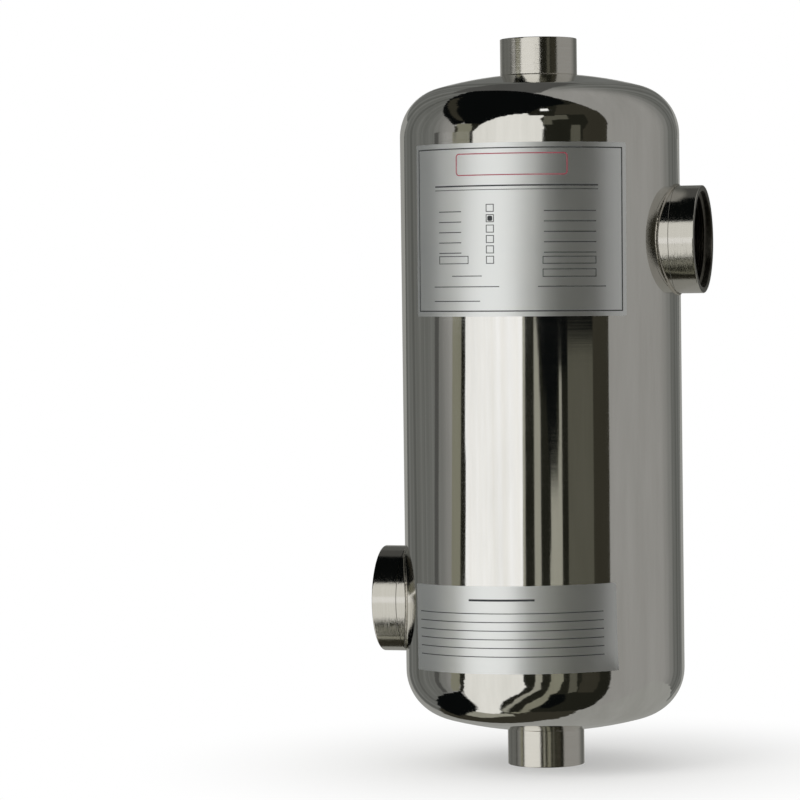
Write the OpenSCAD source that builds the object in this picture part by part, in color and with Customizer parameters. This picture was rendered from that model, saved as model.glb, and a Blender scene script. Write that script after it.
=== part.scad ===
// Shell and tube heat exchanger for a swimming pool, in polished stainless steel.
// It stands on the rim of its lower end socket. Z runs up the axis of the shell, the
// origin is the centre of that rim, and the two side ports point along +X and -X.

/* [Shell] */
// Outside diameter of the shell
shell_od = 140; // [110:1:180]
// Wall of the shell
shell_wall = 1.2; // [0.8:0.1:2.5]
// Length of the straight body between the two heads' tangent lines
body_length = 267; // [220:1:420]

/* [Dished heads] */
// Radius of the crown
crown_radius = 195; // [150:1:300]
// Radius of the knuckle between crown and skirt
knuckle_radius = 25; // [12:1:32]
// Straight skirt of each head, below its tangent line
head_skirt = 3; // [1:0.5:5]
// Wall of the heads
head_wall = 1.2; // [0.8:0.1:2.5]

/* [End sockets] */
// Outside diameter of the two end sockets
end_socket_od = 38.5; // [36.5:0.5:46]
// Bore of the end sockets, over the crests of their thread
end_bore = 30.3; // [26:0.1:31]
// Reach of each end socket past the top of its crown
end_reach = 17.5; // [12:0.5:40]

/* [Side ports] */
// Outside diameter of the side sockets and of their collars
side_socket_od = 53.5; // [52:0.5:58]
// Bore of the side sockets, over the crests of their thread
side_bore = 44.9; // [40:0.1:46]
// Length of the side sockets
side_socket_length = 12.5; // [10:0.5:30]
// Bore of the collars and of the holes in the shell
collar_bore = 48; // [46:0.5:49]
// Height of the collars over the crest of the shell
collar_lip = 0.5; // [0.4:0.1:8]
// Upper port's centre below the upper tangent line
upper_port_drop = 53; // [40:1:110]
// Lower port's centre above the lower tangent line
lower_port_rise = 34; // [33:1:110]

/* [Socket edges] */
// Depth of the pipe thread, which the mouth's chamfer clears
thread_depth = 1.5; // [1:0.1:2]
// Chamfer round the outside of each rim
rim_chamfer = 0.5; // [0.2:0.1:1]
// Chamfers that make the groove between collar and side socket
seam_chamfer = 0.3; // [0.1:0.05:0.35]

/* [Tube bundle] */
// Outside diameter of the tubes
tube_od = 12; // [8:0.5:15]
// Wall of the tubes
tube_wall = 0.8; // [0.5:0.1:1.5]
// Distance between neighbouring tubes, centre to centre
tube_pitch = 19; // [16.5:0.5:30]
// Room between the outermost tubes and the shell
bundle_margin = 5.5; // [1:0.5:12]
// Length of tube that stands out of each tube sheet
tube_stickout = 1.5; // [0.5:0.5:4]
// Thickness of the tube sheets
sheet_thickness = 4; // [2:0.5:5]
// Gap round the tubes and round the tube sheets
bundle_gap = 0.1; // [0.05:0.05:0.3]

/* [Welds] */
// Leg of the weld round each collar
collar_weld_leg = 2.2; // [1:0.1:3]
// Leg of the weld round each end socket
end_weld_leg = 1.2; // [0.6:0.1:2.5]
// Gap between a collar's weld and the metal under it
weld_gap = 0.05; // [0.03:0.01:0.1]

/* [Hidden] */
$fn = 128;
weld_steps = 72;
weld_crown = 0.62;

shell_r = shell_od / 2;
end_socket_r = end_socket_od / 2;
end_bore_r = end_bore / 2;
side_socket_r = side_socket_od / 2;
side_bore_r = side_bore / 2;
collar_bore_r = collar_bore / 2;
tube_r = tube_od / 2;

// Half angle of the crown, where it runs into the knuckle, and depth of the whole dish
crown_angle = asin((shell_r - knuckle_radius) / (crown_radius - knuckle_radius));
head_depth = crown_radius - (crown_radius - knuckle_radius) * cos(crown_angle);
crown_centre = head_depth - crown_radius;

// Heights along the axis
lower_tangent = end_reach + head_depth;
upper_tangent = lower_tangent + body_length;
shell_bottom = lower_tangent + head_skirt;
shell_top = upper_tangent - head_skirt;
upper_port_z = upper_tangent - upper_port_drop;
lower_port_z = lower_tangent + lower_port_rise;

// Distances out from the axis
seam_x = shell_r + collar_lip;
port_rim_x = seam_x + side_socket_length;

// Tubes lie on a triangular layout, as far out as the shell has room. Rows are counted
// from the middle one here, and odd rows are half a pitch along.
bundle_r = shell_r - shell_wall - bundle_margin - tube_r;
row_spacing = tube_pitch * sin(60);
function row_shift(k) = (abs(k) % 2) * tube_pitch / 2;
function row_fits(k) = norm([row_shift(k), k * row_spacing]) <= bundle_r;
side_rows = max([for (k = [0 : ceil(bundle_r / row_spacing)]) if (row_fits(k)) k]);
tube_rows = 2 * side_rows + 1;

polished = "#b9b8b4";
turned = "#aeada8";
weld_metal = "#8f8b84";
dull = "#9c9a95";

// Places

// A head's own frame has its tangent plane at z = 0 and its crown towards +Z
module at_top() { translate([0, 0, upper_tangent]) children(); }
module at_bottom() { translate([0, 0, lower_tangent]) mirror([0, 0, 1]) children(); }

// A port's own frame has its origin on the shell's axis and +Z out through the port
module at_upper_port() { translate([0, 0, upper_port_z]) rotate([0, 90, 0]) children(); }
module at_lower_port() { translate([0, 0, lower_port_z]) rotate([0, -90, 0]) children(); }

// Shell and heads

module shell() {
    color(polished)
        difference() {
            translate([0, 0, shell_bottom])
                cylinder(h = shell_top - shell_bottom, r = shell_r);
            translate([0, 0, shell_bottom - 1])
                cylinder(h = shell_top - shell_bottom + 2, r = shell_r - shell_wall);
            at_upper_port() cylinder(h = shell_od, r = collar_bore_r);
            at_lower_port() cylinder(h = shell_od, r = collar_bore_r);
        }
}

// Half section of a dished head filled to its axis, with its skin taken in by inset
module head_section(inset) {
    translate([0, -head_skirt])
        square([shell_r - inset, head_skirt]);
    intersection() {
        translate([shell_r - knuckle_radius, 0]) circle(r = knuckle_radius - inset);
        square([shell_r, knuckle_radius]);
    }
    intersection() {
        translate([0, crown_centre]) circle(r = crown_radius - inset);
        polygon([[0, 0], [0, head_depth], [(head_depth - crown_centre) * tan(crown_angle), head_depth],
                 [shell_r - knuckle_radius, 0]]);
    }
}

module head() {
    color(polished)
        difference() {
            rotate_extrude()
                difference() {
                    head_section(0);
                    head_section(head_wall);
                    translate([0, -head_skirt - 1]) square([shell_r - head_wall, 1 + head_skirt]);
                }
            cylinder(h = 2 * head_depth, r = end_bore_r);
        }
}

// Sockets

// Half section of a threaded socket that ends at height top
module socket_section(bore_r, outer_r, bottom, top, foot_chamfer) {
    mouth_r = bore_r + thread_depth;
    polygon([[bore_r, bottom], [outer_r - foot_chamfer, bottom], [outer_r, bottom + foot_chamfer],
             [outer_r, top - rim_chamfer], [outer_r - rim_chamfer, top],
             [mouth_r, top], [bore_r, top - thread_depth]]);
}

// An end socket stands on the crown, so its foot is cut to the crown's sphere
module end_socket() {
    color(turned)
        difference() {
            rotate_extrude()
                socket_section(end_bore_r, end_socket_r, 0, head_depth + end_reach, 0);
            translate([0, 0, crown_centre]) sphere(r = crown_radius);
        }
}

// The weld in the corner between socket and crown has a slightly raised face
function crown_height(radius) = crown_centre + sqrt(pow(crown_radius, 2) - pow(radius, 2));

module end_socket_weld() {
    toe_r = end_socket_r + end_weld_leg;
    face_r = end_socket_r + weld_crown * end_weld_leg;
    color(weld_metal)
        rotate_extrude()
            polygon([[end_socket_r, crown_height(end_socket_r)], [toe_r, crown_height(toe_r)],
                     [face_r, crown_height(face_r) + weld_crown * end_weld_leg],
                     [end_socket_r, crown_height(end_socket_r) + end_weld_leg]]);
}

module port_socket() {
    color(turned)
        rotate_extrude()
            socket_section(side_bore_r, side_socket_r, seam_x, port_rim_x, seam_chamfer);
}

// A collar is a short stub of pipe, cut at its foot to sit on the shell
module port_collar() {
    color(turned)
        difference() {
            rotate_extrude()
                polygon([[collar_bore_r, 0], [side_socket_r, 0], [side_socket_r, seam_x - seam_chamfer],
                         [side_socket_r - seam_chamfer, seam_x], [collar_bore_r, seam_x]]);
            rotate([0, 90, 0])
                cylinder(h = 2 * shell_od, r = shell_r, center = true);
        }
}

// The weld runs round the saddle line where the collar meets the shell
function saddle_height(radius, angle) =
    sqrt(pow(shell_r + weld_gap, 2) - pow(radius * sin(angle), 2));
function weld_point(out, up, angle) =
    let (radius = side_socket_r + weld_gap + out)
    [radius * cos(angle), radius * sin(angle), saddle_height(radius, angle) + up];
function weld_ring(angle) =
    [weld_point(0, 0, angle),
     weld_point(collar_weld_leg, 0, angle),
     weld_point(weld_crown * collar_weld_leg, weld_crown * collar_weld_leg, angle),
     weld_point(0, collar_weld_leg, angle)];

module port_weld() {
    corners = len(weld_ring(0));
    points = [for (step = [0 : weld_steps - 1]) each weld_ring(step * 360 / weld_steps)];
    faces = [for (step = [0 : weld_steps - 1], corner = [0 : corners - 1])
        let (here = step * corners, there = ((step + 1) % weld_steps) * corners,
             next = (corner + 1) % corners)
        each [[here + corner, here + next, there + next],
              [here + corner, there + next, there + corner]]];
    color(weld_metal) polyhedron(points, faces);
}

// Tube bundle

// Places of one row's tubes, with the rows counted from the front
function row_tubes(row) =
    let (k = row - side_rows - 1, most = ceil(bundle_r / tube_pitch))
    [for (i = [-most : most])
        let (place = [i * tube_pitch + row_shift(k), k * row_spacing])
        if (norm(place) <= bundle_r) place];

module tube_row(row) {
    color(dull)
        for (place = row_tubes(row))
            translate([place[0], place[1], shell_bottom - tube_stickout])
                difference() {
                    cylinder(h = shell_top - shell_bottom + 2 * tube_stickout, r = tube_r);
                    translate([0, 0, -1])
                        cylinder(h = shell_top - shell_bottom + 2 * tube_stickout + 2, r = tube_r - tube_wall);
                }
}

// A tube sheet lies inside the end of the shell, flush with it
module tube_sheet() {
    color(dull)
        difference() {
            cylinder(h = sheet_thickness, r = shell_r - shell_wall - bundle_gap);
            for (row = [1 : tube_rows], place = row_tubes(row))
                translate([place[0], place[1], -1])
                    cylinder(h = sheet_thickness + 2, r = tube_r + bundle_gap);
        }
}

shell();
at_top() head();  // top_head
at_bottom() head();  // bottom_head
at_top() end_socket();  // top_socket
at_bottom() end_socket();  // bottom_socket
at_top() end_socket_weld();  // top_socket_weld
at_bottom() end_socket_weld();  // bottom_socket_weld
at_upper_port() port_collar();  // upper_port_collar
at_lower_port() port_collar();  // lower_port_collar
at_upper_port() port_socket();  // upper_port_socket
at_lower_port() port_socket();  // lower_port_socket
at_upper_port() port_weld();  // upper_port_weld
at_lower_port() port_weld();  // lower_port_weld
translate([0, 0, shell_top - sheet_thickness]) tube_sheet();  // top_tube_sheet
translate([0, 0, shell_bottom]) tube_sheet();  // bottom_tube_sheet
for (row = [1 : tube_rows])
    tube_row(row);
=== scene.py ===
import math

import bmesh
import bpy
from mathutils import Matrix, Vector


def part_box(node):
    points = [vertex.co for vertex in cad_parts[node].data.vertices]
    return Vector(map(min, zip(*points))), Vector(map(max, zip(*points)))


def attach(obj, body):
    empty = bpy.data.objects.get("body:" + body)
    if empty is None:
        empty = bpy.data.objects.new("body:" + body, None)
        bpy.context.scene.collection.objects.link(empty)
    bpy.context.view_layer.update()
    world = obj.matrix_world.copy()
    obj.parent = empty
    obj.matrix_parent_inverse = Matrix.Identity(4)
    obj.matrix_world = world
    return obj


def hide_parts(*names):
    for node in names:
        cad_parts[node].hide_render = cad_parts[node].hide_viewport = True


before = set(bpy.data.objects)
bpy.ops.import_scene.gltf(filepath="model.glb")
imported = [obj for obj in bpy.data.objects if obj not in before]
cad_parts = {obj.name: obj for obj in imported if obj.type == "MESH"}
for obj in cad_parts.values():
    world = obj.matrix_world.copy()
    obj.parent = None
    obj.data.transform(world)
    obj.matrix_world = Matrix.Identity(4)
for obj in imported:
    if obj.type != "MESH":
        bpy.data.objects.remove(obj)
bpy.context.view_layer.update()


# Tube bundle: straight stainless tubes of 12 mm, expanded into two drilled tube sheets that lie
# inside the ends of the shell. Drawn and pickled but never polished, they are seen only through
# the open ports, as dull grey metal.
def linear(colour):
    """Turns an sRGB hex colour into the linear values that a shader takes."""
    parts = [int(colour[i:i + 2], 16) / 255 for i in (1, 3, 5)]
    return [*(p / 12.92 if p <= 0.04045 else ((p + 0.055) / 1.055) ** 2.4 for p in parts), 1.0]


def add_node(tree, kind, values=(), links=(), **settings):
    """Adds one node, with its settings, its sockets' values and the sockets that feed it."""
    made = tree.nodes.new(kind)
    for name, value in settings.items():
        setattr(made, name, value)
    for socket, value in values:
        made.inputs[socket].default_value = value
    for socket, source in links:
        tree.links.new(source, made.inputs[socket])
    return made


def begin_material(name, metallic):
    """Starts a material, and gives it with its node tree, its shader and the object's coordinates."""
    material = bpy.data.materials.new(name)
    material.use_nodes = True
    tree = material.node_tree
    shader = tree.nodes["Principled BSDF"]
    shader.inputs["Metallic"].default_value = metallic
    place = add_node(tree, "ShaderNodeTexCoord").outputs["Object"]
    return material, tree, shader, place


# Pickled stainless: acid takes the shine off and leaves a fine, even grain of about 0.4 mm under
# broad clouds of lighter and darker grey.
cloud_width = 0.018
grain_width = 0.0004
pickled, tree, shader, place = begin_material("pickled_stainless", 1.0)
clouds = add_node(tree, "ShaderNodeTexNoise", [("Scale", 1 / cloud_width), ("Detail", 3.0)],
                  [("Vector", place)])
tint = add_node(tree, "ShaderNodeMix", [("A", linear("#8f8d88")), ("B", linear("#b4b2ac"))],
                [("Factor", clouds.outputs["Fac"])], data_type="RGBA")
grain = add_node(tree, "ShaderNodeTexNoise", [("Scale", 1 / grain_width), ("Detail", 2.0)],
                 [("Vector", place)])
dullness = add_node(tree, "ShaderNodeMapRange", [("To Min", 0.34), ("To Max", 0.52)],
                    [("Value", clouds.outputs["Fac"])])
relief = add_node(tree, "ShaderNodeBump", [("Strength", 0.25), ("Distance", 0.00004)],
                  [("Height", grain.outputs["Fac"])])
tree.links.new(tint.outputs["Result"], shader.inputs["Base Color"])
tree.links.new(dullness.outputs["Result"], shader.inputs["Roughness"])
tree.links.new(relief.outputs["Normal"], shader.inputs["Normal"])
for name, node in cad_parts.items():
    if "tube" in name:
        node.material_slots[0].material = pickled


# Shell and heads: a tube rolled from 1.2 mm stainless sheet, and two ends pressed from the same
# sheet. They are butt welded, ground flush and buffed together, so no seam shows.
# Mirror polished stainless: a clear, faintly warm reflection that wavers over some 40 mm where the
# sheet is not quite true, with faint streaks of polish some 12 mm wide along the shell and buffing
# lines round it. The lines are drawn 0.7 mm apart, coarser than the wheel leaves them, to show.
streak_width = 0.012
streak_length = 0.12
buffing_spacing = 0.0007
buffing_length = 0.06
smudge_width = 0.025
waver_width = 0.04
polished, tree, shader, place = begin_material("mirror_polished_stainless", 1.0)
along = add_node(tree, "ShaderNodeMapping",
                 [("Scale", (1 / streak_width, 1 / streak_width, 1 / streak_length))], [("Vector", place)])
streaks = add_node(tree, "ShaderNodeTexNoise", [("Scale", 1.0), ("Detail", 4.0), ("Roughness", 0.6)],
                   [("Vector", along.outputs["Vector"])])
drift = add_node(tree, "ShaderNodeMapRange", [("From Min", 0.3), ("From Max", 0.7)],
                 [("Value", streaks.outputs["Fac"])])
tint = add_node(tree, "ShaderNodeMix", [("A", linear("#e4e3df")), ("B", linear("#f2f1ee"))],
                [("Factor", drift.outputs["Result"])], data_type="RGBA")
across = add_node(tree, "ShaderNodeMapping",
                  [("Scale", (1 / buffing_length, 1 / buffing_length, 1 / buffing_spacing))],
                  [("Vector", place)])
lines = add_node(tree, "ShaderNodeTexNoise", [("Scale", 1.0), ("Detail", 2.0)],
                 [("Vector", across.outputs["Vector"])])
smudges = add_node(tree, "ShaderNodeTexNoise", [("Scale", 1 / smudge_width), ("Detail", 4.0)],
                   [("Vector", place)])
haze = add_node(tree, "ShaderNodeMath", [], [(0, lines.outputs["Fac"]), (1, smudges.outputs["Fac"])],
                operation="MULTIPLY")
gloss = add_node(tree, "ShaderNodeMapRange",
                 [("From Min", 0.1), ("From Max", 0.45), ("To Min", 0.04), ("To Max", 0.08)],
                 [("Value", haze.outputs["Value"])])
waver = add_node(tree, "ShaderNodeTexNoise", [("Scale", 1 / waver_width), ("Detail", 1.0)],
                 [("Vector", place)])
sheet = add_node(tree, "ShaderNodeBump", [("Strength", 0.5), ("Distance", 0.00008)],
                 [("Height", waver.outputs["Fac"])])
buffed = add_node(tree, "ShaderNodeBump", [("Strength", 0.12), ("Distance", 0.00001)],
                  [("Height", lines.outputs["Fac"]), ("Normal", sheet.outputs["Normal"])])
tree.links.new(tint.outputs["Result"], shader.inputs["Base Color"])
tree.links.new(gloss.outputs["Result"], shader.inputs["Roughness"])
tree.links.new(buffed.outputs["Normal"], shader.inputs["Normal"])
for name in ("shell", "top_head", "bottom_head"):
    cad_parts[name].material_slots[0].material = polished


# End sockets: lengths of thick stainless bar, turned outside and bored, with a 1 inch pipe thread
# of 2.309 mm pitch cut inside. Each is cut at its foot to the crown and welded round.
def turned_stainless(name, axis, dull, bright):
    """Turned stainless: a bright grey crossed by fine tool lines round the axis, 0.35 mm apart so
    that they show, which draw each highlight out along the axis."""
    line_spacing = 0.00035
    line_length = 0.02
    grain_width = 0.0006
    material, tree, shader, place = begin_material(name, 1.0)
    spread = [1 / line_length] * 3
    spread["XYZ".index(axis)] = 1 / line_spacing
    across = add_node(tree, "ShaderNodeMapping", [("Scale", spread)], [("Vector", place)])
    lines = add_node(tree, "ShaderNodeTexNoise", [("Scale", 1.0), ("Detail", 3.0)],
                     [("Vector", across.outputs["Vector"])])
    tint = add_node(tree, "ShaderNodeMix", [("A", linear(dull)), ("B", linear(bright))],
                    [("Factor", lines.outputs["Fac"])], data_type="RGBA")
    gloss = add_node(tree, "ShaderNodeMapRange", [("To Min", 0.07), ("To Max", 0.17)],
                     [("Value", lines.outputs["Fac"])])
    cut = add_node(tree, "ShaderNodeBump", [("Strength", 0.8), ("Distance", 0.00003)],
                   [("Height", lines.outputs["Fac"])])
    grain = add_node(tree, "ShaderNodeTexNoise", [("Scale", 1 / grain_width), ("Detail", 1.0)],
                     [("Vector", place)])
    rubbed = add_node(tree, "ShaderNodeBump", [("Strength", 0.7), ("Distance", 0.00002)],
                      [("Height", grain.outputs["Fac"]), ("Normal", cut.outputs["Normal"])])
    tree.links.new(tint.outputs["Result"], shader.inputs["Base Color"])
    tree.links.new(gloss.outputs["Result"], shader.inputs["Roughness"])
    tree.links.new(rubbed.outputs["Normal"], shader.inputs["Normal"])
    return material


# Cut thread: the tap leaves it torn and oily, so it stays dull, darkest in patches of 2 mm. Its dark grey is
# partly that oil and partly painted shade of the bore.
oil_width = 0.002
cut_thread, tree, shader, place = begin_material("cut_thread_stainless", 1.0)
oil = add_node(tree, "ShaderNodeTexNoise", [("Scale", 1 / oil_width), ("Detail", 3.0)], [("Vector", place)])
tint = add_node(tree, "ShaderNodeMix", [("A", linear("#5f5d56")), ("B", linear("#96938b"))],
                [("Factor", oil.outputs["Fac"])], data_type="RGBA")
gloss = add_node(tree, "ShaderNodeMapRange", [("To Min", 0.24), ("To Max", 0.42)],
                 [("Value", oil.outputs["Fac"])])
tree.links.new(tint.outputs["Result"], shader.inputs["Base Color"])
tree.links.new(gloss.outputs["Result"], shader.inputs["Roughness"])


def pick(kind, test):
    """In edit mode, selects the vertices, edges or faces that pass the test and nothing else."""
    bpy.ops.mesh.select_mode(type=kind)
    bpy.ops.mesh.select_all(action="DESELECT")
    mesh = bmesh.from_edit_mesh(bpy.context.object.data)
    for item in {"VERT": mesh.verts, "EDGE": mesh.edges, "FACE": mesh.faces}[kind]:
        if test(item):
            item.select_set(True)
    bmesh.update_edit_mesh(bpy.context.object.data)


def at_ring(edge, radius, height):
    """Whether both ends of an edge lie on a circle round Z."""
    return all(abs(math.hypot(v.co.x, v.co.y) - radius) < 2e-5 and abs(v.co.z - height) < 1e-6
               for v in edge.verts)


def threaded_socket(name, outer, crest, length, turn, rim, finish):
    """Turns a socket along Z with its rim at z = 0, cuts its thread and sets it in its place."""
    sides = 144
    thread_depth = 0.00145
    root = crest + thread_depth
    edge_break = 0.0003
    below_edge = 0.0008
    bpy.ops.object.select_all(action="DESELECT")
    bpy.ops.mesh.primitive_cylinder_add(vertices=sides, radius=outer, depth=length,
                                        location=(0, 0, -length / 2))
    bpy.ops.object.transform_apply()
    socket = bpy.context.object
    bpy.ops.object.mode_set(mode="EDIT")
    pick("FACE", lambda f: f.normal.z > 0.9)
    bpy.ops.mesh.inset(thickness=outer - root)
    bpy.ops.mesh.extrude_region_move(TRANSFORM_OT_translate={"value": (0, 0, -length)})
    bpy.ops.mesh.delete(type="FACE")
    pick("FACE", lambda f: f.normal.z < -0.9)
    bpy.ops.mesh.delete(type="FACE")
    pick("EDGE", lambda e: e.is_boundary)
    bpy.ops.mesh.bridge_edge_loops()
    pick("EDGE", lambda e: at_ring(e, outer, 0))
    bpy.ops.mesh.bevel(offset=edge_break, segments=3, affect="EDGES")
    pick("EDGE", lambda e: at_ring(e, root, 0))
    bpy.ops.mesh.bevel(offset=edge_break, segments=2, affect="EDGES")
    # a cut below the broken edges keeps their shading off the walls
    bpy.ops.mesh.select_all(action="SELECT")
    bpy.ops.mesh.bisect(plane_co=(0, 0, -below_edge), plane_no=(0, 0, 1))
    bpy.ops.mesh.select_all(action="SELECT")
    bpy.ops.mesh.normals_make_consistent(inside=False)
    bpy.ops.object.mode_set(mode="OBJECT")

    # the thread is one ridge, narrow at its tip and sunk a little into the wall, screwed up from the foot
    pitch = 0.002309
    plain_length = 0.0015
    turns = int((length - plain_length) / pitch)
    ridge_width = 0.0021
    ridge_sunk = 0.0002
    tip_share = 0.16
    middle = (root + crest) / 2
    foot_to_ridge = 0.0011
    first_z = foot_to_ridge - length
    last_z = first_z + pitch * turns
    bpy.ops.object.select_all(action="DESELECT")
    bpy.ops.mesh.primitive_plane_add(size=1, rotation=(math.pi / 2, 0, 0))
    bpy.ops.object.transform_apply()
    thread = bpy.context.object
    bpy.ops.object.mode_set(mode="EDIT")
    bpy.ops.mesh.select_all(action="SELECT")
    bpy.ops.transform.resize(value=(root - crest + ridge_sunk, 1, ridge_width))
    bpy.ops.transform.translate(value=((root + crest + ridge_sunk) / 2, 0, first_z))
    pick("VERT", lambda v: v.co.x < middle)
    bpy.ops.transform.resize(value=(1, 1, tip_share), center_override=(0, 0, first_z))
    bpy.ops.mesh.select_all(action="SELECT")
    bpy.ops.mesh.delete(type="ONLY_FACE")
    bpy.ops.object.mode_set(mode="OBJECT")
    bpy.ops.object.modifier_add(type="SCREW")
    screw = thread.modifiers[0]
    screw.angle = 2 * math.pi * turns
    screw.screw_offset = pitch * turns
    screw.steps = screw.render_steps = sides // 2 * turns
    bpy.ops.object.modifier_apply(modifier=screw.name)
    bpy.ops.object.mode_set(mode="EDIT")
    # its tip runs out into the wall at both ends
    pick("VERT", lambda v: abs(v.co.y) < 1e-6 and 0 < v.co.x < middle
         and min(abs(v.co.z - first_z), abs(v.co.z - last_z)) < ridge_width / 4)
    bpy.ops.transform.translate(value=(root - crest + ridge_sunk / 2, 0, 0))
    bpy.ops.mesh.select_all(action="SELECT")
    bpy.ops.mesh.fill_holes(sides=4)
    bpy.ops.mesh.normals_make_consistent(inside=False)
    bpy.ops.object.mode_set(mode="OBJECT")

    socket.select_set(True)
    bpy.context.view_layer.objects.active = socket
    bpy.ops.object.join()
    bpy.ops.object.shade_smooth_by_angle(angle=math.radians(40))
    socket.name = socket.data.name = name
    socket.data.materials.append(finish)
    socket.data.materials.append(cut_thread)
    edge_width = 0.00035
    for face in socket.data.polygons:
        # painted shade on the rim face, which takes the thread's dark finish
        face.material_index = int(math.hypot(face.center.x, face.center.y) < outer - edge_width)
    socket.rotation_euler = turn
    socket.location = rim
    bpy.ops.object.transform_apply()
    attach(socket, "root")
    return socket


turned_upright = turned_stainless("turned_stainless_upright", "Z", "#dcd9d2", "#eae8e3")
end_crest = 0.01515
for end, turn in (("top", (0, 0, 0)), ("bottom", (math.pi, 0, 0))):
    low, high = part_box(end + "_socket")
    rim = (0, 0, high.z if end == "top" else low.z)
    socket = threaded_socket(end + "_threaded_socket", (high.x - low.x) / 2, end_crest, high.z - low.z,
                             turn, rim, turned_upright)
    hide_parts(end + "_socket")


# Collars: short stubs of 53.5 mm tube, cut fish-mouthed to sit on the shell round its holes.
# They are turned and brushed along with the sockets that stand on them.
turned_sideways = turned_stainless("turned_stainless_sideways", "X", "#cfccc5", "#dddbd5")
for level in ("upper", "lower"):
    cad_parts[level + "_port_collar"].material_slots[0].material = turned_sideways


# Side sockets: turned like the end sockets but larger, with a 1 1/2 inch pipe thread, and welded
# to the collars with a fine groove between.
side_crest = 0.02245
for level, side in (("upper", 1), ("lower", -1)):
    low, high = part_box(level + "_port_socket")
    rim = (high.x if side > 0 else low.x, 0, (low.z + high.z) / 2)
    socket = threaded_socket(level + "_port_threaded_socket", (high.z - low.z) / 2, side_crest,
                             high.x - low.x, (0, side * math.pi / 2, 0), rim, turned_sideways)
    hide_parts(level + "_port_socket")


# Welds: beads of weld metal run round the feet of the collars and of the end sockets, laid with a
# torch and brushed afterwards.
# Weld metal: duller and browner than the sheet beside it, with a faint straw heat tint in patches.
patch_width = 0.006
pit_width = 0.0012
weld_metal, tree, shader, place = begin_material("brushed_weld_metal", 1.0)
patches = add_node(tree, "ShaderNodeTexNoise", [("Scale", 1 / patch_width), ("Detail", 3.0)],
                   [("Vector", place)])
tint = add_node(tree, "ShaderNodeMix", [("A", linear("#b9b2a4")), ("B", linear("#e2dfd8"))],
                [("Factor", patches.outputs["Fac"])], data_type="RGBA")
gloss = add_node(tree, "ShaderNodeMapRange", [("To Min", 0.14), ("To Max", 0.3)],
                 [("Value", patches.outputs["Fac"])])
pits = add_node(tree, "ShaderNodeTexNoise", [("Scale", 1 / pit_width), ("Detail", 2.0)], [("Vector", place)])
relief = add_node(tree, "ShaderNodeBump", [("Strength", 0.8), ("Distance", 0.0002)],
                  [("Height", pits.outputs["Fac"])])
tree.links.new(tint.outputs["Result"], shader.inputs["Base Color"])
tree.links.new(gloss.outputs["Result"], shader.inputs["Roughness"])
tree.links.new(relief.outputs["Normal"], shader.inputs["Normal"])


def weld_bead(name, radius, thickness, seat, turn, centre, node):
    """Lays a bead round Z on the surface whose height seat gives, in ripples where the torch paused."""
    ripple_spacing = 0.0017
    ripple_share = 0.08
    uneven_share = 0.05
    uneven_count = 5
    ripples = round(2 * math.pi * radius / ripple_spacing)
    bpy.ops.object.select_all(action="DESELECT")
    bpy.ops.mesh.primitive_torus_add(major_segments=6 * ripples, minor_segments=12,
                                     major_radius=radius, minor_radius=thickness)
    bead = bpy.context.object
    for v in bead.data.vertices:
        out, angle = math.hypot(v.co.x, v.co.y), math.atan2(v.co.y, v.co.x)
        swell = 1 + ripple_share * math.cos(ripples * angle) + uneven_share * math.sin(uneven_count * angle)
        out = radius + (out - radius) * swell
        x, y = out * math.cos(angle), out * math.sin(angle)
        v.co = (x, y, v.co.z * swell + seat(x, y))
    bpy.ops.object.shade_smooth()
    bead.name = bead.data.name = name
    bead.rotation_euler = turn
    bead.location = centre
    bpy.ops.object.transform_apply()
    bead.data.materials.append(weld_metal)
    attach(bead, "root")
    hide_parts(node)


end_bead = 0.00045
for end, turn in (("top", (0, 0, 0)), ("bottom", (math.pi, 0, 0))):
    low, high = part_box(end + "_socket")
    weld_low, weld_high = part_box(end + "_socket_weld")
    foot = weld_low.z if end == "top" else weld_high.z
    weld_bead(end + "_socket_weld_bead", (high.x - low.x) / 2, end_bead, lambda x, y: 0,
              turn, (0, 0, foot), end + "_socket_weld")
side_bead = 0.0008
bead_clear = 0.0002
shell_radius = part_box("shell")[1].x
for level, side in (("upper", 1), ("lower", -1)):
    low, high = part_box(level + "_port_collar")
    weld_bead(level + "_port_weld_bead", (high.z - low.z) / 2 + bead_clear, side_bead,
              lambda x, y: math.sqrt(shell_radius ** 2 - y ** 2) + bead_clear,
              (0, side * math.pi / 2, 0), (0, 0, (low.z + high.z) / 2), level + "_port_weld")


# Stickers: two labels of silvered polyester film, cut square and stuck round the front of the
# shell. The upper one is printed as a blank form, the lower one with ruled lines.
# Silvered film: a bright, slightly cool metal layer under a matt face, so it blurs what it mirrors.
# Its flakes all lean some 2 degrees one way, which draws the shine to the left.
mottle_width = 0.012
grain_width = 0.0008
flake_rise = 0.015
film, tree, shader, place = begin_material("silvered_polyester_film", 0.95)
mottle = add_node(tree, "ShaderNodeTexNoise", [("Scale", 1 / mottle_width), ("Detail", 4.0)],
                  [("Vector", place)])
tint = add_node(tree, "ShaderNodeMix", [("A", linear("#f3f6f7")), ("B", linear("#fbfdfd"))],
                [("Factor", mottle.outputs["Fac"])], data_type="RGBA")
gloss = add_node(tree, "ShaderNodeMapRange", [("To Min", 0.32), ("To Max", 0.37)],
                 [("Value", mottle.outputs["Fac"])])
grain = add_node(tree, "ShaderNodeTexNoise", [("Scale", 1 / grain_width), ("Detail", 2.0)],
                 [("Vector", place)])
round_it = add_node(tree, "ShaderNodeTexGradient", [], [("Vector", place)], gradient_type="RADIAL")
flakes = add_node(tree, "ShaderNodeBump", [("Strength", 1.0), ("Distance", flake_rise)],
                  [("Height", round_it.outputs["Fac"])], invert=True)
relief = add_node(tree, "ShaderNodeBump", [("Strength", 0.15), ("Distance", 0.00003)],
                  [("Height", grain.outputs["Fac"]), ("Normal", flakes.outputs["Normal"])])
tree.links.new(tint.outputs["Result"], shader.inputs["Base Color"])
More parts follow.
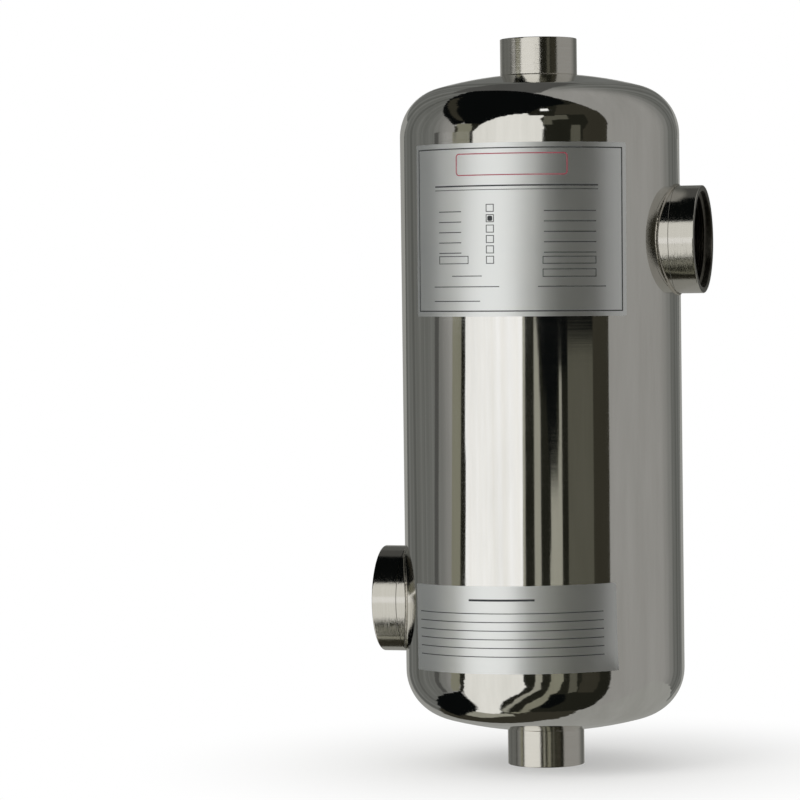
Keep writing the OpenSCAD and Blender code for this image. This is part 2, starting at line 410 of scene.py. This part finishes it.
tree.links.new(gloss.outputs["Result"], shader.inputs["Roughness"])
tree.links.new(relief.outputs["Normal"], shader.inputs["Normal"])


def printing_ink(name, full, thin):
    """Screen printing ink: flat and matt, a little thinner in some spots of about 1 mm."""
    spot_width = 0.001
    material, tree, shader, place = begin_material(name, 0.0)
    shader.inputs["Roughness"].default_value = 0.55
    spots = add_node(tree, "ShaderNodeTexNoise", [("Scale", 1 / spot_width), ("Detail", 2.0)],
                     [("Vector", place)])
    tint = add_node(tree, "ShaderNodeMix", [("A", linear(full)), ("B", linear(thin))],
                    [("Factor", spots.outputs["Fac"])], data_type="RGBA")
    tree.links.new(tint.outputs["Result"], shader.inputs["Base Color"])
    return material


black_ink = printing_ink("black_screen_ink", "#1c1e20", "#3c3f42")
red_ink = printing_ink("red_screen_ink", "#8a2536", "#a84a5a")


def flat_frame(left, right, bottom, top, line, corner, ink):
    """Draws a printed outline in the XZ plane, or a solid bar where line is 0."""
    ink_lift = 0.00009
    bpy.ops.object.select_all(action="DESELECT")
    bpy.ops.mesh.primitive_plane_add(size=1, rotation=(math.pi / 2, 0, 0))
    mark = bpy.context.object
    mark.scale = (right - left, top - bottom, 1)
    mark.location = ((left + right) / 2, -ink_lift, (bottom + top) / 2)
    bpy.ops.object.transform_apply()
    bpy.ops.object.mode_set(mode="EDIT")
    bpy.ops.mesh.select_all(action="SELECT")
    if corner:
        bpy.ops.mesh.bevel(offset=corner, segments=5, affect="VERTICES")
        bpy.ops.mesh.select_all(action="SELECT")
    if line:
        bpy.ops.mesh.inset(thickness=line)
        bpy.ops.mesh.delete(type="FACE")
    bpy.ops.object.mode_set(mode="OBJECT")
    mark.data.materials.append(ink)
    return mark


def sticker(name, width, height, crook, facing, middle_z, marks, lift):
    """Joins the film and its printing, sets them a little crooked, wraps them round the shell and
    turns them to face their way."""
    corner = 0.001
    loose_length = 0.012
    film_thickness = 0.00012
    glue = 0.0001
    strips = 48
    radius = shell_radius + glue
    bpy.ops.object.select_all(action="DESELECT")
    bpy.ops.mesh.primitive_grid_add(x_subdivisions=60, y_subdivisions=24, size=1,
                                    rotation=(math.pi / 2, 0, 0))
    label = bpy.context.object
    label.scale = (width, height, 1)
    bpy.ops.object.transform_apply()
    bpy.ops.object.mode_set(mode="EDIT")
    pick("VERT", lambda v: abs(v.co.x) > width / 2 - 1e-5 and abs(v.co.z) > height / 2 - 1e-5)
    bpy.ops.mesh.bevel(offset=corner, segments=4, affect="VERTICES")
    bpy.ops.object.mode_set(mode="OBJECT")
    for v in label.data.vertices:
        # the lower right corner has come loose, by as much as lift says
        near = max(0, 1 - math.hypot(width / 2 - v.co.x, -height / 2 - v.co.z) / loose_length)
        v.co.y -= lift * near ** 2
    label.data.materials.append(film)
    for mark in marks:
        mark.select_set(True)
    label.select_set(True)
    bpy.context.view_layer.objects.active = label
    bpy.ops.object.join()
    bpy.ops.object.mode_set(mode="EDIT")
    for step in range(1, strips):
        bpy.ops.mesh.select_all(action="SELECT")
        bpy.ops.mesh.bisect(plane_co=((step / strips - 0.5) * width, 0, 0), plane_no=(1, 0, 0))
    bpy.ops.object.mode_set(mode="OBJECT")
    bpy.ops.object.modifier_add(type="SOLIDIFY")
    label.modifiers[0].thickness = film_thickness
    label.modifiers[0].offset = -1
    bpy.ops.object.modifier_apply(modifier=label.modifiers[0].name)
    label.rotation_euler = (0, math.radians(crook), 0)
    bpy.ops.object.transform_apply()
    bpy.ops.object.modifier_add(type="SIMPLE_DEFORM")
    wrap = label.modifiers[0]
    wrap.deform_method = "BEND"
    wrap.deform_axis = "Z"
    wrap.angle = width / radius
    bpy.ops.object.modifier_apply(modifier=wrap.name)
    label.location = (0, -radius, 0)
    bpy.ops.object.transform_apply()
    label.rotation_euler = (0, 0, math.radians(facing))
    label.location = (0, 0, middle_z)
    bpy.ops.object.transform_apply()
    bpy.ops.object.shade_smooth_by_angle(angle=math.radians(30))
    label.name = label.data.name = name
    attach(label, "root")


# printed marks are given by their left, right, bottom and top edges, from the sticker's middle
frame_line = 0.00055
red_line = 0.0005
box_line = 0.00035
rule_height = 0.0004
form = [flat_frame(-0.0566, 0.0566, -0.0397, 0.0397, frame_line, 0, black_ink),
        flat_frame(-0.0293, 0.0276, 0.0262, 0.0370, red_line, 0.0018, red_ink),
        flat_frame(-0.0430, 0.0430, 0.0209, 0.0216, 0, 0, black_ink),
        flat_frame(-0.0430, 0.0430, 0.0192, 0.0195, 0, 0, black_ink),
        flat_frame(-0.0119, -0.0094, 0.0042, 0.0067, 0, 0.0007, black_ink)]
tick_rows = 6
first_row_z = 0.0105
row_spacing = 0.00502
box_half = 0.0019
rule_drop = 0.0018
for row in range(tick_rows):
    row_z = first_row_z - row_spacing * row
    form.append(flat_frame(-0.0127, -0.0086, row_z - box_half, row_z + box_half, box_line, 0, black_ink))
    if row < tick_rows - 1:
        rule_z = row_z - rule_drop
        form.append(flat_frame(-0.0404, -0.0264, rule_z, rule_z + rule_height, 0, 0, black_ink))
        form.append(flat_frame(0.0160, 0.0419, rule_z, rule_z + rule_height, 0, 0, black_ink))
for left, right, bottom, top in ((-0.0404, -0.0223, -0.0165, -0.0126), (0.0153, 0.0419, -0.0167, -0.0130),
                                 (0.0153, 0.0419, -0.0230, -0.0191)):
    form.append(flat_frame(left, right, bottom, top, box_line, 0, black_ink))
for left, right, z in ((-0.0320, -0.0150, -0.0226), (-0.0440, -0.0060, -0.0278),
                       (0.0130, 0.0470, -0.0278), (-0.0440, -0.0160, -0.0348)):
    form.append(flat_frame(left, right, z, z + rule_height, 0, 0, black_ink))
sticker("upper_sticker", width=0.1176, height=0.0841, crook=0.35, facing=1.75, middle_z=0.26765,
        marks=form, lift=0)

rules = [flat_frame(-0.0530, 0.0500, z, z + rule_height, 0, 0, black_ink)
         for z in (0.0078, 0.0036, -0.0006, -0.0048, -0.0090, -0.0132)]
rules.append(flat_frame(-0.0180, 0.0160, 0.0140, 0.0150, 0, 0, black_ink))
sticker("lower_sticker", width=0.1146, height=0.0427, crook=-0.95, facing=-3.4, middle_z=0.0735,
        marks=rules, lift=0.0009)


# Floor: a wide sheet of pale matt card that the object stands on, where it throws a soft shadow. It
# fades into the white studio a little way out from the object, and the metal does not mirror it.
def seen_rays(tree):
    """Gives 1 where the camera looks, straight, by a mirror or through something clear, or else 0."""
    ray = add_node(tree, "ShaderNodeLightPath")
    seen = add_node(tree, "ShaderNodeMath", [],
                    [(0, ray.outputs["Is Camera Ray"]), (1, ray.outputs["Is Glossy Ray"])],
                    operation="MAXIMUM")
    seen = add_node(tree, "ShaderNodeMath", [],
                    [(0, seen.outputs["Value"]), (1, ray.outputs["Is Transmission Ray"])],
                    operation="MAXIMUM")
    return seen.outputs["Value"]


floor_width = 8
fade_start = 0.04
fade_end = 0.22
bpy.ops.object.select_all(action="DESELECT")
bpy.ops.mesh.primitive_plane_add(size=floor_width)
floor = bpy.context.object
floor.name = "floor"
pale, tree, shader, place = begin_material("pale_floor", 0.0)
shader.inputs["Base Color"].default_value = linear("#f6f6f4")
shader.inputs["Roughness"].default_value = 0.8
far = add_node(tree, "ShaderNodeVectorMath", [], [(0, place)], operation="LENGTH")
fade = add_node(tree, "ShaderNodeMapRange",
                [("From Min", fade_start), ("From Max", fade_end), ("To Min", 0.35)],
                [("Value", far.outputs["Value"])], interpolation_type="SMOOTHSTEP")
share = add_node(tree, "ShaderNodeMath", [], [(0, seen_rays(tree)), (1, fade.outputs["Result"])],
                 operation="MULTIPLY")
white = add_node(tree, "ShaderNodeEmission")
blend = add_node(tree, "ShaderNodeMixShader", [],
                 [("Fac", share.outputs["Value"]), (1, shader.outputs["BSDF"]),
                  (2, white.outputs["Emission"])])
tree.links.new(blend.outputs["Shader"], tree.nodes["Material Output"].inputs["Surface"])
floor.data.materials.append(pale)
floor.visible_glossy = False


# Tent: grey paper and cloths hung in loose folds all round the object, open at the front left to
# the white studio and at the front to the dark room behind the camera, with a doorway and furniture
# in it. Only the metal sees it, and it sees it through the floor too. The cloths are not lit: each
# glows in its own tone, painted light that stands for the light and shade on it.
tent_radius = 3
tent_z = 0.18
ring_crowding = 1.4
bpy.ops.object.select_all(action="DESELECT")
bpy.ops.mesh.primitive_uv_sphere_add(segments=360, ring_count=120, radius=tent_radius,
                                     location=(0, 0, tent_z))
tent = bpy.context.object
tent.name = "tent"
for v in tent.data.vertices:
    # its rings lie closer together towards the horizon
    rise = math.asin(max(-1, min(1, v.co.z / tent_radius)))
    wide = math.cos(rise)
    rise = math.copysign(math.pi / 2 * (abs(rise) / (math.pi / 2)) ** ring_crowding, rise)
    if wide > 1e-4:
        v.co.x, v.co.y = v.co.x * math.cos(rise) / wide, v.co.y * math.cos(rise) / wide
    v.co.z = tent_radius * math.sin(rise)
bpy.ops.object.transform_apply()
# the glowing tones of the cloths, and of what shows between them, as painted light
hung = {"paper": "#979693", "opening": "#ffffff", "black": "#090b0b", "dark_room": "#20201a",
        "doorway": "#97968a", "hem": "#807f70", "fold": "#50504e", "shaded_opening": "#e9e8e3",
        "back_cloth": "#989894", "furniture": "#55544a", "shelf": "#34322a"}
fold_degrees = {"paper": 6, "opening": 5}
lit_side = (0.53, -0.85, 0)
for cloth, shade in hung.items():
    material = bpy.data.materials.new(cloth)
    material.use_nodes = True
    tree = material.node_tree
    tree.nodes.remove(tree.nodes["Principled BSDF"])
    glow = add_node(tree, "ShaderNodeEmission", [("Color", linear(shade))])
    tree.links.new(glow.outputs["Emission"], tree.nodes["Material Output"].inputs["Surface"])
    tent.data.materials.append(material)
    if cloth in fold_degrees:
        # the paper, and the white curtain across the opening, hang in folds, drawn as streaks of painted
        # light and shade
        place = add_node(tree, "ShaderNodeTexCoord").outputs["Object"]
        round_it = add_node(tree, "ShaderNodeTexGradient", [], [("Vector", place)], gradient_type="RADIAL")
        folds = add_node(tree, "ShaderNodeTexNoise", [("Scale", 360 / fold_degrees[cloth]), ("Detail", 3.0)],
                         [("W", round_it.outputs["Fac"])], noise_dimensions="1D")
        crease = add_node(tree, "ShaderNodeMapRange", [("From Min", 0.3), ("From Max", 0.7)],
                          [("Value", folds.outputs["Fac"])])
    if cloth == "opening":
        hang = add_node(tree, "ShaderNodeMix", [("A", linear("#f9f8f5")), ("B", linear("#ffffff"))],
                        [("Factor", crease.outputs["Result"])], data_type="RGBA")
        tree.links.new(hang.outputs["Result"], glow.inputs["Color"])
    if cloth == "paper":
        # it falls into shade towards the back
        outward = add_node(tree, "ShaderNodeVectorMath", [], [(0, place)], operation="NORMALIZE")
        front = add_node(tree, "ShaderNodeVectorMath", [(1, lit_side)],
                         [(0, outward.outputs["Vector"])], operation="DOT_PRODUCT")
        lit = add_node(tree, "ShaderNodeMapRange", [("From Min", -0.5), ("From Max", -0.02)],
                       [("Value", front.outputs["Value"])], interpolation_type="SMOOTHSTEP")
        unlit = add_node(tree, "ShaderNodeMix", [("A", linear("#5a5b58")), ("B", linear("#757673"))],
                         [("Factor", crease.outputs["Result"])], data_type="RGBA")
        shaded = add_node(tree, "ShaderNodeMix", [("B", linear(shade))],
                          [("Factor", lit.outputs["Result"]), ("A", unlit.outputs["Result"])],
                          data_type="RGBA")
        tree.links.new(shaded.outputs["Result"], glow.inputs["Color"])
# each panel hangs in front of those before it; its corners are degrees to the right of the camera,
# as the object sees them, and degrees above the horizon
panels = (
    ("back_cloth", ((100, -15), (158, -25), (158, 14), (180, 14), (180, -88), (75, -88), (66, -66))),
    ("back_cloth", ((-180, 14), (-150, 14), (-150, -30), (-155, -60), (-180, -80))),
    # the low shelf panel is partly the dark of the room and partly painted shade: the floor under the
    # object, in its shadow
    ("shelf", ((-180, -90), (-180, -73), (-174, -71), (-170, -65), (-167, -60), (-166, -52),
               (-164, -45), (-161, -39), (-155, -33), (-140, -36), (-100, -50), (30, -66), (57, -66),
               (63, -70), (69, -75), (105, -80), (150, -79), (175, -74), (180, -73), (180, -90))),
    # the fold panels are painted shade: the paper darker high at the back and in one crease at the left
    ("fold", ((-180, 85), (-151, 85), (-151, 45), (-180, 40))),
    ("fold", ((180, 85), (168, 85), (170, 42), (180, 40))),
    ("dark_room", ((-63, 8), (-30, 5), (-19, -16), (-53, -56), (-97, -73), (-28, -79), (1, -80),
                   (40, -78), (66, -70), (63, -60), (58, -50), (57, -36), (56, -7), (57, 35), (50, 45),
                   (48, 62), (36, 78), (0, 60))),
    ("black", ((-151, 90), (-151, 54), (-121, 44), (-93, 28), (-81, 17), (-71, 22), (-63, 8), (-20, 30),
               (0, 54), (35, 62), (35, 90))),
    ("shelf", ((-130, 54), (-101, 47), (-84, 34), (-72, 24), (-80, 26), (-104, 41), (-130, 49))),
    ("shelf", ((34, 3), (56, 3), (57, 35), (48, 60), (20, 58), (13, 37), (40, 36), (40, 20))),
    ("black", ((-149, -44), (-136, -37), (-111, -33), (-80, -30), (-72, -28), (-74, -39), (-78, -51),
               (-87, -57), (-107, -59), (-132, -52))),
    ("fold", ((-98, 8), (-93, 8), (-89, -30), (-95, -30))),
    ("hem", ((-78, 20), (-63, 20), (-61, 4), (-68, 1), (-68, -17), (-73, -28), (-81, -28), (-77, -14))),
    ("dark_room", ((-63, 20), (-52, 20), (-57, 3), (-63, 1), (-63, -8), (-64, -18), (-70, -30),
                   (-74, -30), (-68, -19), (-68, 1), (-61, 4))),
    ("shelf", ((-80, 15), (-77, 15), (-74, 5), (-77, 5))),
    ("shaded_opening", ((4, 36), (0, 28), (2, 18), (3, 8), (2, 3), (-58, 3), (-59, 10), (-56, 14),
                        (-51, 22), (-40, 33), (-28, 38), (-12, 41), (-10, 36))),
    ("opening", ((-15, 3), (-15, -7.5), (-63, -7.5), (-64, 2), (-61, 3))),
    ("shaded_opening", ((-15, -7.5), (-13, -19), (-18, -31), (-22, -36), (-29, -41), (-37, -48),
                        (-48, -57), (-56, -62), (-67, -66), (-80, -70), (-99, -69), (-126, -59),
                        (-132, -52), (-107, -59), (-87, -57), (-76, -51), (-74, -42), (-70, -32),
                        (-65, -19), (-63, -7.5))),
    ("doorway", ((-108, -58), (-136, -51), (-141, -56), (-135, -63), (-126, -68), (-114, -75),
                 (-92, -75), (-88, -72), (-99, -70), (-106, -66))),
    ("opening", ((0, 45), (8, 45), (8, 51), (0, 51))),
    ("doorway", ((-15, 3), (-13, 3), (-13, -7.5), (-15, -7.5))),
    ("doorway", ((-6, 1), (-6, -16), (-7, -24), (-14, -34), (-19, -39), (-26, -47), (-36, -56),
                 (-51, -63), (-66, -67), (-80, -71), (-80, -73), (-59, -69), (-46, -65), (-30, -57),
                 (-23, -51), (-16, -43), (-13, -39), (-8, -34), (-2, -24), (-1, -2), (-4, 1))),
    ("black", ((4, -36), (19, -36), (22, -53), (7, -70), (-8, -70), (-1, -58))),
    ("hem", ((6, -7.5), (5, -16), (4, -24), (2, -32), (0, -38), (-3, -43), (-7, -48), (-11, -53),
             (-19, -58), (-26, -65), (-36, -71), (-52, -75), (-80, -74), (-75, -77), (-55, -79),
             (-36, -77), (-24, -72), (-12, -68), (-6, -63), (-1, -58), (1, -53), (4, -48), (5, -38),
             (11, -32), (13, -24), (16, -7.5))),
    ("doorway", ((7, -4), (6, -7.5), (16, -7.5), (16, -1), (14, -1), (13, -4))),
    ("black", ((-4, 3), (-4, 1), (-1, 0), (1, -1), (5, -2), (6, -4), (10, -4), (13, -1), (24, -1),
               (25, 0), (33, 0), (36, -0.8), (39, 0), (46, 0), (46, 3))),
    ("furniture", ((21, 0), (42, 0), (42, -7.5), (27, -7.5), (28, -30), (21, -34))),
    ("shelf", ((42, 3), (56, 3), (56, -7.5), (46, -7.5), (44, -33), (29, -32), (31, -7.5), (42, -7.5))),
    ("furniture", ((2, 16), (9, 16), (9, 25), (24, 27), (24, 36), (3, 34))),
    ("furniture", ((25, 3), (33, 3), (33, 14), (25, 14))),
    ("opening", ((-88, 4.4), (-11, 4.4), (-11, 1.4), (-88, 1.4))),
)


def within(turn, rise, outline):
    """Whether a direction lies inside an outline, by counting the edges to the right of it."""
    inside = False
    for (turn_0, rise_0), (turn_1, rise_1) in zip(outline, outline[1:] + outline[:1]):
        crosses = (rise_0 > rise) != (rise_1 > rise)
        if crosses and turn < turn_0 + (turn_1 - turn_0) * (rise - rise_0) / (rise_1 - rise_0):
            inside = not inside
    return inside


camera_turn = 13
for face in tent.data.polygons:
    x, y, z = face.center
    turn = (math.degrees(math.atan2(x, -y)) - camera_turn + 180) % 360 - 180
    rise = math.degrees(math.atan2(z - tent_z, math.hypot(x, y)))
    cloth = next((c for c, outline in reversed(panels) if within(turn, rise, outline)), "paper")
    face.material_index = list(hung).index(cloth)
lean_all = 0.12
lean_left = 0.55
lean_limit = math.radians(10)
for v in tent.data.vertices:
    # everything leans a little to the right, most at the left
    x, y, z = v.co
    turn = math.atan2(x, -y) - math.radians(camera_turn)
    rise = math.atan2(z - tent_z, math.hypot(x, y))
    lean = (lean_all + lean_left * max(0, -math.sin(turn))) * max(-lean_limit, min(lean_limit, rise))
    v.co.x, v.co.y = x * math.cos(lean) - y * math.sin(lean), x * math.sin(lean) + y * math.cos(lean)
tent.visible_camera = tent.visible_diffuse = tent.visible_shadow = tent.visible_transmission = False


# Studio: white all round for the camera, with soft daylight on the floor from every side and one
# broad lamp at the front left. The metal does not mirror the lamp.
world = bpy.data.worlds.new("white_studio")
bpy.context.scene.world = world
world.use_nodes = True
tree = world.node_tree
soft = tree.nodes["Background"]
soft.inputs["Color"].default_value = linear("#ffffff")
soft.inputs["Strength"].default_value = 0.8
white = add_node(tree, "ShaderNodeBackground", [("Color", linear("#ffffff")), ("Strength", 1.0)])
blend = add_node(tree, "ShaderNodeMixShader", [],
                 [("Fac", seen_rays(tree)), (1, soft.outputs["Background"]),
                  (2, white.outputs["Background"])])
tree.links.new(blend.outputs["Shader"], tree.nodes["World Output"].inputs["Surface"])
bpy.ops.object.light_add(type="AREA", location=(-1.2, -1.6, 1.8))
lamp = bpy.context.object
lamp.name = "broad_lamp"
lamp.data.shape = "DISK"
lamp.data.size = 1.6
lamp.data.energy = 22
lamp.rotation_euler = (math.radians(48), 0, math.radians(-37))
lamp.visible_glossy = False


# Camera: 1.7 m off with a long lens, at two thirds of the object's height and a little to the right
# of its front. It looks slightly down.
bpy.ops.object.camera_add(location=(0.39948, -1.67297, 0.232), rotation=(1.5428839, 0.01249708, 0.27567931))
camera = bpy.context.object
camera.data.lens = 153.777
camera.data.sensor_width = 36
camera.data.clip_start = 0.05
camera.data.clip_end = 50
bpy.context.scene.camera = camera
bpy.context.scene.view_settings.view_transform = "Standard"
